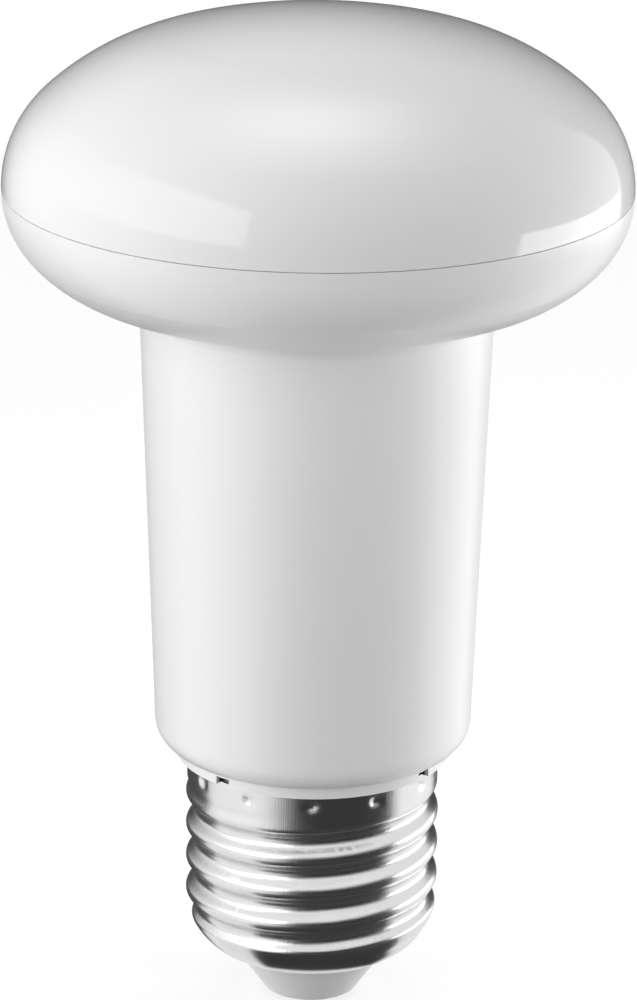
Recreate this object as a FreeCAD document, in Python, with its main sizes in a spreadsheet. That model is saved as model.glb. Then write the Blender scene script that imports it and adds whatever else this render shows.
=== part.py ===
import FreeCAD, Part
import math
import os
import Sketcher

from FreeCAD import Placement, Rotation, Vector

# A reflector lamp of 63 mm with a screw cap of 27 mm, in millimetres.
# The origin is the middle of the centre contact's lower face, and +Z runs up
# the lamp's axis to the top of the diffuser. The photograph looks along +Y.

doc = FreeCAD.newDocument("reflector_lamp")
sheet = doc.addObject("Spreadsheet::Sheet", "sizes")

DRIVING_SIZES = {
    # screw cap
    "cap_height": 27.0,
    "crest_radius": 13.15,
    "root_radius": 12.05,
    "thread_pitch": 3.629,
    "crest_height": 20.79,
    "skirt_radius": 13.02,
    "runout_low": 4.4,  # both below the cap's rim
    "runout_high": 2.6,
    "shell_wall": 0.3,
    "shoulder_top": 11.3,
    "shoulder_fall": 6.3,
    "shoulder_reach": 6.8,
    "shoulder_blend": 0.25,
    "lip_radius": 8.2,
    "punch_drop": 1.2,
    "punch_reach": 0.8,
    "punch_depth": 0.45,
    "punch_count": 12,
    # insulator and contact
    "contact_radius": 3.0,
    "contact_thickness": 0.6,
    "contact_edge": 0.3,
    "pin_radius": 1.1,
    "pin_length": 8.6,
    "pin_clearance": 0.05,
    "pin_socket_radius": 0.7,
    "pin_socket_depth": 3.0,
    "insulator_base_radius": 4.85,
    "insulator_edge": 0.5,
    "insulator_top_radius": 8.1,
    "insulator_waist_radius": 6.7,
    "insulator_flange_radius": 9.2,
    "insulator_flange_rise": 0.8,
    "insulator_flange_thickness": 1.2,
    # housing
    "seam_height": 87.5,
    "head_radius": 31.6,
    "bowl_arc_high": 9.5,
    "bowl_turn_high": 43.0,
    "bowl_turn_low": 76.0,
    "shoulder_width": 4.41,
    "neck_top_radius": 17.93,
    "neck_fillet": 1.6,
    "neck_base_radius": 16.36,
    "neck_edge": 2.8,
    "collar_radius": 14.1,
    "collar_thickness": 1.15,
    "collar_gap": 0.2,
    "spigot_clearance": 0.15,
    "spigot_rise": 0.2,
    "spigot_lead_gap": 2.9,
    "spigot_bore_radius": 9.9,
    "nose_clearance": 0.3,
    "punch_groove_width": 1.6,
    "punch_groove_depth": 0.6,
    "housing_wall": 1.6,
    "slot_width": 1.7,
    "slot_height": 0.85,
    "slot_depth": 4.4,
    "slot_turn_left": 229.7,
    "slot_turn_right": 323.9,
    # diffuser and the rim it snaps into
    "seam_gap": 0.1,
    "dome_side_arc": 11.95,
    "dome_middle_arc": 27.2,
    "dome_side_turn": 42.7,
    "dome_top_turn": 14.8,
    "diffuser_wall": 1.5,
    "ring_wall": 1.2,
    "ring_length": 2.6,
    "ring_clearance": 0.15,
    "bead_drop": 1.3,
    "bead_reach": 0.4,
    "bead_half_height": 0.5,
    "rim_wall": 1.8,
    # heat spreader and light board
    "spreader_thickness": 1.2,
    "spreader_clearance": 0.2,
    "lead_hole_radius": 3.0,
    "led_board_radius": 22.0,
    "led_board_thickness": 1.0,
    "led_length": 3.5,
    "led_width": 2.8,
    "led_height": 0.7,
    "led_ring_radius": 15.0,
    "led_ring_count": 12,
    "screw_ring_radius": 19.4,
    "screw_count": 3,
    "screw_radius": 1.2,
    "screw_head_radius": 2.1,
    "screw_head_height": 1.4,
    "screw_slot_width": 0.5,
    "screw_slot_depth": 0.7,
    "screw_length": 4.2,
    "screw_clearance": 0.1,
    "boss_radius": 2.3,
    "boss_depth": 2.2,
    "connector_length": 5.0,
    "connector_width": 5.4,
    "connector_height": 2.6,
    "connector_place": 3.2,
    "connector_socket_depth": 1.8,
    "connector_clearance": 0.1,
    # driver board
    "driver_offset": 3.0,
    "driver_thickness": 1.2,
    "driver_width": 26.0,
    "driver_headroom": 10.8,
    "rail_thickness": 1.0,
    "rail_reach": 1.6,
    "rail_clearance": 0.1,
    "rail_root": 0.5,
    "rail_drop": 3.0,
    "solder_gap": 0.1,
    # parts on the driver board
    "input_can_radius": 5.0,
    "input_can_height": 16.0,
    "input_can_place": -6.5,
    "output_can_radius": 4.0,
    "output_can_height": 11.5,
    "output_can_place": 6.5,
    "can_groove": 0.5,
    "can_groove_rise": 1.6,
    "choke_place": 5.8,
    "choke_width": 13.0,
    "choke_depth": 5.0,
    "choke_height": 13.0,
    "choke_limb": 3.0,
    "choke_side_limb": 2.0,
    "choke_yoke": 2.0,
    "bobbin_clearance": 0.1,
    "bobbin_wall": 0.8,
    "winding_build": 1.6,
    "film_length": 8.0,
    "film_depth": 4.6,
    "film_height": 7.0,
    "film_place": -10.0,
    "fusible_radius": 1.6,
    "fusible_length": 8.0,
    "fusible_cap": 1.2,
    "fusible_neck": 0.2,
    "fusible_place": 3.0,
    "bridge_length": 6.4,
    "bridge_depth": 2.4,
    "bridge_height": 4.8,
    "bridge_place": 2.0,
    "chip_length": 4.9,
    "chip_depth": 1.5,
    "chip_width": 3.9,
    "chip_place": -6.0,
    "chip_leg_count": 4,
    "chip_leg_pitch": 1.27,
    "chip_leg_width": 0.42,
    "chip_leg_reach": 1.0,
    "chip_leg_thickness": 0.25,
    "diode_length": 4.3,
    "diode_depth": 2.3,
    "diode_height": 2.6,
    "diode_place": 4.0,
    "resistor_length": 2.0,
    "resistor_depth": 0.5,
    "resistor_height": 1.25,
    "resistor_place": -9.0,
    "resistor_pitch": 2.6,
    "resistor_count": 5,
    # leads
    "lead_radius": 0.6,
    "lead_bend": 2.0,
    "lead_overlap": 4.0,
    "live_bend_drop": 8.0,
    "neutral_place": 1.8,
}

# How finely the rolled shell's surface is laid out
SHELL_COLUMNS = 160
SHELL_STEP = 0.33
SHELL_FINE = 0.01


class Size:
    """A length or angle as a number, with the sheet formula that gives it."""

    def __init__(self, value, formula):
        self.value = value
        self.formula = formula

    def __add__(self, other):
        other = as_size(other)
        return Size(self.value + other.value, f"({self.formula} + {other.formula})")

    def __sub__(self, other):
        other = as_size(other)
        return Size(self.value - other.value, f"({self.formula} - {other.formula})")

    def __mul__(self, other):
        other = as_size(other)
        return Size(self.value * other.value, f"({self.formula} * {other.formula})")

    def __truediv__(self, other):
        other = as_size(other)
        return Size(self.value / other.value, f"({self.formula} / {other.formula})")

    def __neg__(self):
        return as_size(0) - self


def as_size(number):
    return number if isinstance(number, Size) else Size(float(number), repr(float(number)))


def sine(angle):
    return Size(math.sin(math.radians(angle.value)), f"sin({angle.formula})")


def cosine(angle):
    return Size(math.cos(math.radians(angle.value)), f"cos({angle.formula})")


def root(number):
    return Size(math.sqrt(number.value), f"sqrt({number.formula})")


def fill_sheet():
    sizes = {}
    for row, (name, number) in enumerate(DRIVING_SIZES.items(), start=1):
        sheet.set(f"A{row}", name)
        sheet.set(f"B{row}", repr(number))
        sheet.setAlias(f"B{row}", name)
        sizes[name] = Size(number, f"sizes.{name}")
    doc.recompute()
    return sizes


d = fill_sheet()
ZERO = as_size(0)


def plane_of(body, role):
    return next(item for item in body.Origin.OriginFeatures if item.Role == role)


def new_body(label):
    body = doc.addObject("PartDesign::Body", label)
    body.Label = label
    return body


def new_sketch(body, name, role="XZ_Plane", lift=None, turn=None):
    """A sketch on one of the body's own planes, lifted off it and turned on it."""
    sketch = body.newObject("Sketcher::SketchObject", name)
    sketch.AttachmentSupport = (plane_of(body, role), [""])
    sketch.MapMode = "FlatFace"
    if turn is not None:
        sketch.AttachmentOffset = Placement(Vector(), Rotation(Vector(0, 0, 1), turn.value))
        sketch.setExpression("AttachmentOffset.Rotation.Angle", turn.formula)
    if lift is not None:
        sketch.setExpression("AttachmentOffset.Base.z", lift.formula)
    return sketch


def pin(sketch, kind, element, point, size):
    """Ties one coordinate of a sketch point to a formula."""
    index = sketch.addConstraint(Sketcher.Constraint(kind, -1, 1, element, point, size.value))
    sketch.setExpression(f"Constraints[{index}]", size.formula)


def pin_both(sketch, element, point, place):
    pin(sketch, "DistanceX", element, point, place[0])
    pin(sketch, "DistanceY", element, point, place[1])


def joined(sketch, element, point, other, other_point):
    sketch.addConstraint(Sketcher.Constraint("Coincident", element, point, other, other_point))


def vector(place):
    return Vector(place[0].value, place[1].value, 0)


class Outline:
    """Draws straight and round stretches one after another in a sketch."""

    def __init__(self, sketch, start):
        self.sketch = sketch
        self.start = start
        self.place = vector(start)
        self.first = None
        self.last = None

    def follow(self, element, start_point, end_point):
        if self.last is None:
            pin_both(self.sketch, element, start_point, self.start)
            self.first = (element, start_point)
        else:
            joined(self.sketch, self.last[0], self.last[1], element, start_point)
        self.last = (element, end_point)

    def line(self, *place):
        element = self.sketch.addGeometry(Part.LineSegment(self.place, vector(place)), False)
        self.follow(element, 1, 2)
        pin_both(self.sketch, element, 2, place)
        self.place = vector(place)
        return self

    def arc(self, centre, place, clockwise=False, given="DistanceY"):
        """An arc about a centre; one coordinate of its end is given to the sketch."""
        middle, end = vector(centre), vector(place)
        begin_angle = math.atan2(self.place.y - middle.y, self.place.x - middle.x)
        end_angle = math.atan2(end.y - middle.y, end.x - middle.x)
        circle = Part.Circle(middle, Vector(0, 0, 1), self.place.distanceToPoint(middle))
        if clockwise:
            arc = Part.ArcOfCircle(circle, end_angle, begin_angle)
        else:
            arc = Part.ArcOfCircle(circle, begin_angle, end_angle)
        element = self.sketch.addGeometry(arc, False)
        end_point = 1 if clockwise else 2
        self.follow(element, 3 - end_point, end_point)
        pin_both(self.sketch, element, 3, centre)
        pin(self.sketch, given, element, end_point, place[1 if given == "DistanceY" else 0])
        self.place = end
        return self

    def close(self):
        start = vector(self.start)
        element = self.sketch.addGeometry(Part.LineSegment(self.place, start), False)
        joined(self.sketch, self.last[0], self.last[1], element, 1)
        joined(self.sketch, element, 2, self.first[0], self.first[1])


def revolve(body, sketch):
    turned = body.newObject("PartDesign::Revolution", f"{body.Label}_turned")
    turned.Profile = sketch
    turned.ReferenceAxis = (sketch, ["V_Axis"])
    turned.Angle = 360
    sketch.Visibility = False
    return turned


def circle_in(sketch, x, y, radius):
    element = sketch.addGeometry(Part.Circle(vector((x, y)), Vector(0, 0, 1), radius.value), False)
    pin_both(sketch, element, 3, (x, y))
    index = sketch.addConstraint(Sketcher.Constraint("Radius", element, radius.value))
    sketch.setExpression(f"Constraints[{index}]", radius.formula)


def rectangle_in(sketch, left, right, low, high):
    Outline(sketch, (left, low)).line(right, low).line(right, high).line(left, high).close()


def pad(body, sketch, length):
    made = body.newObject("PartDesign::Pad", f"{sketch.Label}_pad")
    made.Profile = sketch
    made.setExpression("Length", length.formula)
    return made


def pocket(body, sketch, length, along=True):
    """Cuts along the sketch's normal, or against it."""
    made = body.newObject("PartDesign::Pocket", f"{sketch.Label}_pocket")
    made.Profile = sketch
    made.Reversed = along
    made.setExpression("Length", length.formula)
    return made


def repeat_round(body, features, count):
    pattern = body.newObject("PartDesign::PolarPattern", f"{body.Label}_round")
    pattern.Originals = features
    pattern.Axis = (plane_of(body, "Z_Axis"), [""])
    pattern.Angle = 360
    pattern.setExpression("Occurrences", count.formula)
    body.Tip = pattern
    return pattern


def round_ring(body, feature, radius, height, fillet):
    """Rounds the circular edge of that radius and height."""
    doc.recompute()
    for number, edge in enumerate(feature.Shape.Edges, start=1):
        middle = Vector(0, 0, height.value)
        circle = edge.Curve
        if circle.TypeId == "Part::GeomCircle" and circle.Center.isEqual(middle, 0.001):
            if abs(circle.Radius - radius.value) < 0.001:
                rounded = body.newObject("PartDesign::Fillet", f"{body.Label}_fillet")
                rounded.Base = (feature, [f"Edge{number}"])
                rounded.setExpression("Radius", fillet.formula)
                return rounded
    raise ValueError(f"{body.Label} has no such ring edge")


def put(item, x=ZERO, y=ZERO, z=ZERO):
    item.setExpression("Placement.Base.x", x.formula)
    item.setExpression("Placement.Base.y", y.formula)
    item.setExpression("Placement.Base.z", z.formula)
    return item


def box(label, low, size):
    item = doc.addObject("Part::Box", label)
    item.Label = label
    item.setExpression("Length", size[0].formula)
    item.setExpression("Width", size[1].formula)
    item.setExpression("Height", size[2].formula)
    return put(item, *low)


# Levels and radii that more than one piece reads

ONE = as_size(1)
lip_share = ONE - (d["crest_radius"] - d["lip_radius"]) / d["shoulder_reach"]
lip_height = d["shoulder_top"] - d["shoulder_fall"] * root(ONE - lip_share * lip_share)
pin_bore = d["pin_radius"] + d["pin_clearance"]
pin_socket_floor = d["pin_length"] - d["pin_socket_depth"]
punch_height = d["cap_height"] - d["punch_drop"]
collar_base = d["cap_height"] + d["collar_gap"]
collar_top = collar_base + d["collar_thickness"]
thread_end = d["cap_height"] - d["runout_low"]
skirt_start = d["cap_height"] - d["runout_high"]
solder_level = d["crest_height"] - d["thread_pitch"] * 2.5
edge_place = d["neck_base_radius"] - d["neck_edge"]
edge_reach = d["collar_radius"] - edge_place
edge_height = collar_top + root(d["neck_edge"] * d["neck_edge"] - edge_reach * edge_reach)
floor_height = edge_height - d["neck_edge"] + d["housing_wall"]
neck_inner_base = d["neck_base_radius"] - d["housing_wall"]
rim_inner = d["head_radius"] - d["rim_wall"]
bead_height = d["seam_height"] - d["bead_drop"]
plate_top = d["seam_height"] - d["ring_length"]
ledge_height = plate_top - d["spreader_thickness"]
led_level = plate_top + d["led_board_thickness"]
board_front = d["driver_thickness"] / 2 - d["driver_offset"]
board_back = -d["driver_thickness"] / 2 - d["driver_offset"]
driver_top = ledge_height - d["driver_headroom"]
driver_height = driver_top - floor_height
driver_half = d["driver_width"] / 2
front_face = board_front + d["solder_gap"]
back_face = board_back - d["solder_gap"]
front_lead = front_face + d["lead_radius"]
back_lead = back_face - d["lead_radius"]


def stacked(*heights):
    """Rises of the parts in one column of the driver board, with equal gaps."""
    gap = driver_height
    for height in heights:
        gap = gap - height
    gap = gap / (len(heights) + 1)
    rises = []
    rise = gap
    for height in heights:
        rises.append(rise)
        rise = rise + height + gap
    return rises


resistor_stack = d["resistor_pitch"] * (d["resistor_count"] - ONE) + d["resistor_height"]
film_rise, input_can_rise = stacked(d["film_height"], d["input_can_height"])
fusible_rise, choke_rise, output_can_rise = stacked(
    d["fusible_radius"] * 2, d["choke_height"], d["output_can_height"]
)
resistor_rise, chip_rise = stacked(resistor_stack, d["chip_length"])
bridge_rise, diode_rise = stacked(d["bridge_height"], d["diode_height"])


def arc_point(centre, radius, turn):
    """A point of an arc, by its turn below the level through the centre."""
    return centre[0] + radius * cosine(turn), centre[1] - radius * sine(turn)


# Housing: one moulding of head, neck, collar and the spigot inside the cap

def build_housing():
    body = new_body("housing")
    high_turn, low_turn = d["bowl_turn_high"], d["bowl_turn_low"]
    high_arc = d["bowl_arc_high"]
    bowl_base = d["neck_top_radius"] + d["shoulder_width"]
    bowl_reach = d["head_radius"] - high_arc * (ONE - cosine(high_turn)) - bowl_base
    low_arc = bowl_reach / (cosine(high_turn) - cosine(low_turn))
    wall = d["housing_wall"]
    high_centre = (d["head_radius"] - high_arc, d["seam_height"])
    low_centre = arc_point(high_centre, high_arc - low_arc, high_turn)
    bowl_end = arc_point(low_centre, low_arc, low_turn)
    bowl_middle = arc_point(high_centre, high_arc, high_turn)
    slope = cosine(low_turn) / sine(low_turn)
    neck_top = bowl_end[1] - (bowl_end[0] - d["neck_top_radius"]) * slope
    inner_end = arc_point(low_centre, low_arc - wall, low_turn)
    inner_middle = arc_point(high_centre, high_arc - wall, high_turn)
    inner_neck = d["neck_top_radius"] - wall
    inner_neck_top = inner_end[1] - (inner_end[0] - inner_neck) * slope
    inner_high = high_arc - wall
    ledge_drop = d["seam_height"] - ledge_height
    ledge_inner = high_centre[0] + root(inner_high * inner_high - ledge_drop * ledge_drop)
    nose = d["root_radius"] - d["shell_wall"] - d["nose_clearance"]
    nose_top = skirt_start + d["spigot_rise"]
    spigot = d["skirt_radius"] - d["shell_wall"] - d["spigot_clearance"]
    spigot_base = solder_level + d["lead_radius"] + d["spigot_lead_gap"]
    groove = spigot - d["punch_groove_depth"]
    groove_low = punch_height - d["punch_groove_width"] / 2
    groove_high = punch_height + d["punch_groove_width"] / 2
    edge_centre = (edge_place, edge_height)
    profile = new_sketch(body, "housing_profile")
    outline = Outline(profile, (d["spigot_bore_radius"], spigot_base))
    outline.line(nose, spigot_base).line(nose, nose_top).line(spigot, nose_top)
    outline.line(spigot, groove_low).line(groove, groove_low)
    outline.line(groove, groove_high).line(spigot, groove_high)
    outline.line(spigot, collar_base).line(d["collar_radius"], collar_base)
    outline.line(d["collar_radius"], collar_top)
    outline.arc(edge_centre, (d["neck_base_radius"], edge_height))
    outline.line(d["neck_top_radius"], neck_top).line(*bowl_end)
    outline.arc(low_centre, bowl_middle)
    outline.arc(high_centre, (d["head_radius"], d["seam_height"]))
    outline.line(rim_inner, d["seam_height"])
    outline.line(rim_inner, bead_height + d["bead_half_height"])
    outline.line(rim_inner + d["bead_reach"], bead_height)
    outline.line(rim_inner, bead_height - d["bead_half_height"])
    outline.line(rim_inner, ledge_height).line(ledge_inner, ledge_height)
    outline.arc(high_centre, inner_middle, clockwise=True)
    outline.arc(low_centre, inner_end, clockwise=True)
    outline.line(inner_neck, inner_neck_top).line(neck_inner_base, edge_height)
    outline.arc(edge_centre, (edge_place, floor_height), clockwise=True, given="DistanceX")
    outline.line(d["spigot_bore_radius"], floor_height).close()
    turned = revolve(body, profile)
    round_ring(body, turned, d["neck_top_radius"], neck_top, d["neck_fillet"])
    add_rails(body, inner_neck, inner_neck_top)
    cut_collar_slots(body, "left", d["slot_turn_left"])
    cut_collar_slots(body, "right", d["slot_turn_right"])
    return body


def add_rails(body, inner_neck, inner_neck_top):
    """Two pairs of ribs on the neck's wall that hold the driver board's sides."""
    draft = (inner_neck - neck_inner_base) / (inner_neck_top - edge_height)
    low_reach = neck_inner_base + d["rail_root"]
    top = driver_top - d["rail_drop"]
    high_reach = low_reach + draft * (top - floor_height)
    inner = driver_half - d["rail_reach"]
    front = board_front + d["rail_clearance"] + d["rail_thickness"]
    back = board_back - d["rail_clearance"]
    for name, place in (("front", front), ("back", back)):
        sketch = new_sketch(body, f"rail_{name}", lift=-place)
        for side in (1, -1):
            outline = Outline(sketch, (inner * side, floor_height))
            outline.line(low_reach * side, floor_height)
            outline.line(high_reach * side, top)
            outline.line(inner * side, top).close()
        pad(body, sketch, d["rail_thickness"])


def cut_collar_slots(body, name, turn):
    """One slot in the collar's lower edge and its fellow on the far side."""
    sketch = new_sketch(body, f"slots_{name}", "XY_Plane", collar_base, turn)
    inner = d["collar_radius"] - d["slot_depth"]
    outer = d["collar_radius"] + d["slot_depth"]
    half = d["slot_width"] / 2
    rectangle_in(sketch, inner, outer, -half, half)
    rectangle_in(sketch, -outer, -inner, -half, half)
    pocket(body, sketch, d["slot_height"])


# Diffuser: opal dome with a ring that snaps into the housing's rim

def build_diffuser():
    body = new_body("diffuser")
    base = d["seam_height"] + d["seam_gap"]
    wall = d["diffuser_wall"]
    side_turn = as_size(-90) + d["dome_side_turn"]
    top_turn = as_size(-90) + d["dome_top_turn"]
    side_arc, middle_arc = d["dome_side_arc"], d["dome_middle_arc"]
    side_centre = (d["head_radius"] - side_arc, base)
    middle_centre = arc_point(side_centre, side_arc - middle_arc, side_turn)
    side_end = arc_point(side_centre, side_arc, side_turn)
    middle_end = arc_point(middle_centre, middle_arc, top_turn)
    top_arc = middle_end[0] / sine(d["dome_top_turn"])
    top_centre = (ZERO, middle_end[1] - top_arc * cosine(d["dome_top_turn"]))
    top = top_centre[1] + top_arc
    ring_outer = rim_inner - d["ring_clearance"]
    ring_inner = ring_outer - d["ring_wall"]
    inner_side = side_arc - wall
    ring_reach = ring_inner - side_centre[0]
    ring_top = base + root(inner_side * inner_side - ring_reach * ring_reach)
    profile = new_sketch(body, "diffuser_profile")
    outline = Outline(profile, (ring_inner, plate_top))
    outline.line(ring_outer, plate_top)
    outline.line(ring_outer, bead_height - d["bead_half_height"])
    outline.line(ring_outer + d["bead_reach"], bead_height)
    outline.line(ring_outer, bead_height + d["bead_half_height"])
    outline.line(ring_outer, base).line(d["head_radius"], base)
    outline.arc(side_centre, side_end).arc(middle_centre, middle_end)
    outline.arc(top_centre, (ZERO, top), given="DistanceX")
    outline.line(ZERO, top - wall)
    outline.arc(top_centre, arc_point(top_centre, top_arc - wall, top_turn), clockwise=True)
    outline.arc(middle_centre, arc_point(side_centre, inner_side, side_turn), clockwise=True)
    outline.arc(side_centre, (ring_inner, ring_top), clockwise=True).close()
    revolve(body, profile)
    return body


# Rolled screw shell: skirt, thread and shoulder of one sheet, punched all round

def smooth_step(low, high, number):
    share = min(1.0, max(0.0, (number - low) / (high - low)))
    return share * share * (3.0 - 2.0 * share)


def runout(height):
    """Nothing where the thread is full, one where it has faded into the skirt."""
    return smooth_step(thread_end.value, skirt_start.value, height)


def shoulder_radius(height):
    """The crest's radius, less what the quarter ellipse below takes off."""
    fall = max(0.0, (d["shoulder_top"].value - height) / d["shoulder_fall"].value)
    drop = d["shoulder_reach"].value * (1.0 - math.sqrt(1.0 - fall * fall))
    return d["crest_radius"].value - drop


def shoulder_slope(height):
    fall = max(0.0, (d["shoulder_top"].value - height) / d["shoulder_fall"].value)
    reach = d["shoulder_reach"].value / d["shoulder_fall"].value
    return reach * fall / math.sqrt(1.0 - fall * fall)


def thread_cut(turn, height):
    """How deep the thread lies under its crest; root and crest are equal arcs."""
    pitch = d["thread_pitch"].value
    depth = d["crest_radius"].value - d["root_radius"].value
    half = pitch / 2
    arc = (half * half + depth * depth) / (4 * depth)
    crest = d["crest_height"].value + pitch * turn / (2 * math.pi)
    offset = abs((height - crest + half) % pitch - half)
    if offset < half / 2:
        cut = arc - math.sqrt(arc * arc - offset * offset)
    else:
        cut = depth - arc + math.sqrt(arc * arc - (half - offset) ** 2)
    return cut * (1.0 - runout(height))


def punch_dent(turn, height):
    """Round dents in the skirt; the first one is at the front."""
    spacing = 2 * math.pi / d["punch_count"].value
    swing = (turn + (math.pi + spacing) / 2) % spacing - spacing / 2
    away = math.hypot(swing * d["skirt_radius"].value, height - punch_height.value)
    return d["punch_depth"].value * (1.0 - smooth_step(0.0, d["punch_reach"].value, away))


def shell_radius(turn, height):
    threaded = d["crest_radius"].value - thread_cut(turn, height)
    shoulder = shoulder_radius(height)
    top = d["shoulder_top"].value
    start = top - d["thread_pitch"].value / 2
    blend = d["shoulder_blend"].value * (1.0 - smooth_step(start, top, height))
    lower = (threaded + shoulder - math.hypot(threaded - shoulder, blend)) / 2
    skirt_drop = (d["crest_radius"].value - d["skirt_radius"].value) * runout(height)
    return lower - skirt_drop - punch_dent(turn, height)


def shell_heights():
    """Heights at equal steps along the shoulder's curve and up the skirt."""
    low, high = lip_height.value, d["cap_height"].value
    count = round((high - low) / SHELL_FINE)
    places = [low + (high - low) * step / count for step in range(count + 1)]
    lengths = [0.0]
    for lower, upper in zip(places, places[1:]):
        rise = shoulder_radius(upper) - shoulder_radius(lower)
        lengths.append(lengths[-1] + math.hypot(rise, upper - lower))
    spans = math.ceil(lengths[-1] / SHELL_STEP)
    shares = [0.0, 1.0 / 3.0] + list(range(1, spans)) + [spans - 1.0 / 3.0, float(spans)]
    heights = []
    index = 0
    for share in shares:
        wanted = lengths[-1] * share / spans
        while lengths[index + 1] < wanted and index < count - 1:
            index += 1
        part = (wanted - lengths[index]) / (lengths[index + 1] - lengths[index])
        heights.append(places[index] + (places[index + 1] - places[index]) * part)
    return heights, spans


def shell_surface(heights, spans, thickness):
    """The shell's skin, closed round the axis, moved inward by a thickness."""
    step = 2 * math.pi / SHELL_COLUMNS
    grow = 6.0 / (4.0 + 2.0 * math.cos(step))
    poles = []
    for column in range(SHELL_COLUMNS):
        turn = column * step
        row = []
        for height in heights:
            inward = thickness * math.hypot(1.0, shoulder_slope(height))
            radius = (shell_radius(turn, height) - inward) * grow
            row.append(Vector(radius * math.cos(turn), radius * math.sin(turn), height))
        poles.append(row)
    round_knots = list(range(SHELL_COLUMNS + 1))
    high_knots = list(range(spans + 1))
    high_counts = [4] + [1] * (spans - 1) + [4]
    surface = Part.BSplineSurface()
    surface.buildFromPolesMultsKnots(
        poles, [1] * (SHELL_COLUMNS + 1), high_counts, round_knots, high_knots, True, False, 3, 3
    )
    return surface.toShape()


def ring_at(face, height):
    """The face's rim at one height, as a wire of its own edges."""
    edges = []
    for edge in face.Edges:
        box = edge.BoundBox
        if abs(box.ZMin - height) < 0.001 and abs(box.ZMax - height) < 0.001:
            edges.append(edge)
    return Part.Wire(edges)


def build_screw_shell():
    heights, spans = shell_heights()
    outer = shell_surface(heights, spans, 0.0)
    inner = shell_surface(heights, spans, d["shell_wall"].value)
    faces = [outer, inner]
    for height in (lip_height.value, d["cap_height"].value):
        rims = [ring_at(outer, height), ring_at(inner, height)]
        faces.append(Part.makeFace(rims, "Part::FaceMakerBullseye"))
    skin = Part.Compound(faces)
    skin.sewShape(0.001)
    solid = Part.Solid(skin.Shells[0])
    if solid.Volume < 0:
        solid.reverse()
    item = doc.addObject("Part::Feature", "screw_shell")
    item.Label = "screw_shell"
    item.Shape = solid
    item.Placement = Placement()
    return item


# Insulator in the shell's mouth, and the contact pressed through it

def build_cap_insulator():
    body = new_body("cap_insulator")
    low = d["contact_thickness"]
    flange_low = lip_height + d["insulator_flange_rise"]
    flange_high = flange_low + d["insulator_flange_thickness"]
    profile = new_sketch(body, "insulator_profile")
    outline = Outline(profile, (pin_bore, low)).line(d["insulator_base_radius"], low)
    outline.line(d["insulator_top_radius"], lip_height)
    outline.line(d["insulator_waist_radius"], lip_height)
    outline.line(d["insulator_waist_radius"], flange_low)
    outline.line(d["insulator_flange_radius"], flange_low)
    outline.line(d["insulator_flange_radius"], flange_high)
    outline.line(pin_bore, flange_high).close()
    turned = revolve(body, profile)
    round_ring(body, turned, d["insulator_base_radius"], low, d["insulator_edge"])
    return body


def build_centre_contact():
    body = new_body("centre_contact")
    radius, edge, high = d["contact_radius"], d["contact_edge"], d["contact_thickness"]
    profile = new_sketch(body, "contact_profile")
    outline = Outline(profile, (ZERO, ZERO)).line(radius - edge, ZERO)
    outline.arc((radius - edge, edge), (radius, edge)).line(radius, high)
    outline.line(d["pin_radius"], high).line(d["pin_radius"], d["pin_length"])
    outline.line(d["pin_socket_radius"], d["pin_length"])
    outline.line(d["pin_socket_radius"], pin_socket_floor)
    outline.line(ZERO, pin_socket_floor).close()
    revolve(body, profile)
    return body


# Heat spreader and light board

def screw_holes(body, height, length):
    """One hole on the screws' ring, to be repeated round."""
    sketch = new_sketch(body, f"{body.Label}_hole", "XY_Plane", height)
    circle_in(sketch, d["screw_ring_radius"], ZERO, d["screw_radius"] + d["screw_clearance"])
    return pocket(body, sketch, length, along=False)


def round_plate(body, height, radius, thickness):
    """A disc with the hole that the driver's leads come through."""
    sketch = new_sketch(body, f"{body.Label}_disc", "XY_Plane", height)
    circle_in(sketch, ZERO, ZERO, radius)
    circle_in(sketch, ZERO, -d["driver_offset"], d["lead_hole_radius"])
    return pad(body, sketch, thickness)


def build_heat_spreader():
    body = new_body("heat_spreader")
    thickness, depth = d["spreader_thickness"], d["boss_depth"]
    round_plate(body, ledge_height, rim_inner - d["spreader_clearance"], thickness)
    sketch = new_sketch(body, "boss", "XY_Plane", ledge_height - depth)
    circle_in(sketch, d["screw_ring_radius"], ZERO, d["boss_radius"])
    boss = pad(body, sketch, depth)
    hole = screw_holes(body, plate_top, thickness + depth)
    repeat_round(body, [boss, hole], d["screw_count"])
    return body


def build_led_board():
    body = new_body("led_board")
    round_plate(body, plate_top, d["led_board_radius"], d["led_board_thickness"])
    hole = screw_holes(body, led_level, d["led_board_thickness"])
    repeat_round(body, [hole], d["screw_count"])
    return body


def build_led_packages():
    body = new_body("led_packages")
    body.AllowCompound = True
    sketch = new_sketch(body, "package", "XY_Plane", led_level)
    reach, half = d["led_length"] / 2, d["led_width"] / 2
    rectangle_in(sketch, d["led_ring_radius"] - reach, d["led_ring_radius"] + reach, -half, half)
    package = pad(body, sketch, d["led_height"])
    repeat_round(body, [package], d["led_ring_count"])
    return body


def build_board_screws():
    body = new_body("board_screws")
    body.AllowCompound = True
    place, head = d["screw_ring_radius"], d["screw_head_height"]
    low = led_level - d["screw_length"]
    shank_sketch = new_sketch(body, "shank", "XY_Plane", low)
    circle_in(shank_sketch, place, ZERO, d["screw_radius"])
    shank = pad(body, shank_sketch, d["screw_length"])
    head_sketch = new_sketch(body, "head", "XY_Plane", led_level)
    circle_in(head_sketch, place, ZERO, d["screw_head_radius"])
    cap = pad(body, head_sketch, head)
    slot_sketch = new_sketch(body, "head_slot", "XY_Plane", led_level + head)
    reach, half = d["screw_head_radius"] + d["screw_slot_width"], d["screw_slot_width"] / 2
    rectangle_in(slot_sketch, place - reach, place + reach, -half, half)
    slot = pocket(body, slot_sketch, d["screw_slot_depth"], along=False)
    repeat_round(body, [shank, cap, slot], d["screw_count"])
    return body


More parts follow.
